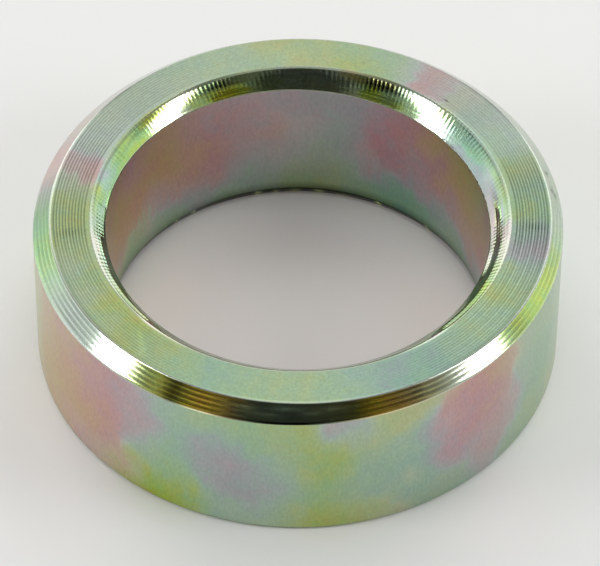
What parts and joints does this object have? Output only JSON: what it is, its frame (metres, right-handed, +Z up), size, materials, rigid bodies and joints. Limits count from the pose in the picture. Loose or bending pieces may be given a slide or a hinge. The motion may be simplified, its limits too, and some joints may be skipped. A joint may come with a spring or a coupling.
{
  "type": "spacer sleeve",
  "caption": "Short turned steel ring that slips over a shaft or bolt and holds two parts a fixed distance apart.",
  "frame": {"origin": "centre of the lower face, which is the face with the small edge breaks", "axes": "+Z up the bore towards the face with the wide chamfers; +X towards the side where the outer upper chamfer is narrowest"},
  "size_m": [0.04, 0.04, 0.013],
  "materials": {
    "zinc_steel": "turned, zinc plated and iridescent yellow chromate passivated"
  },
  "bodies": {
    "root": {"spacer_sleeve": "zinc_steel"}
  },
  "joints": []
}
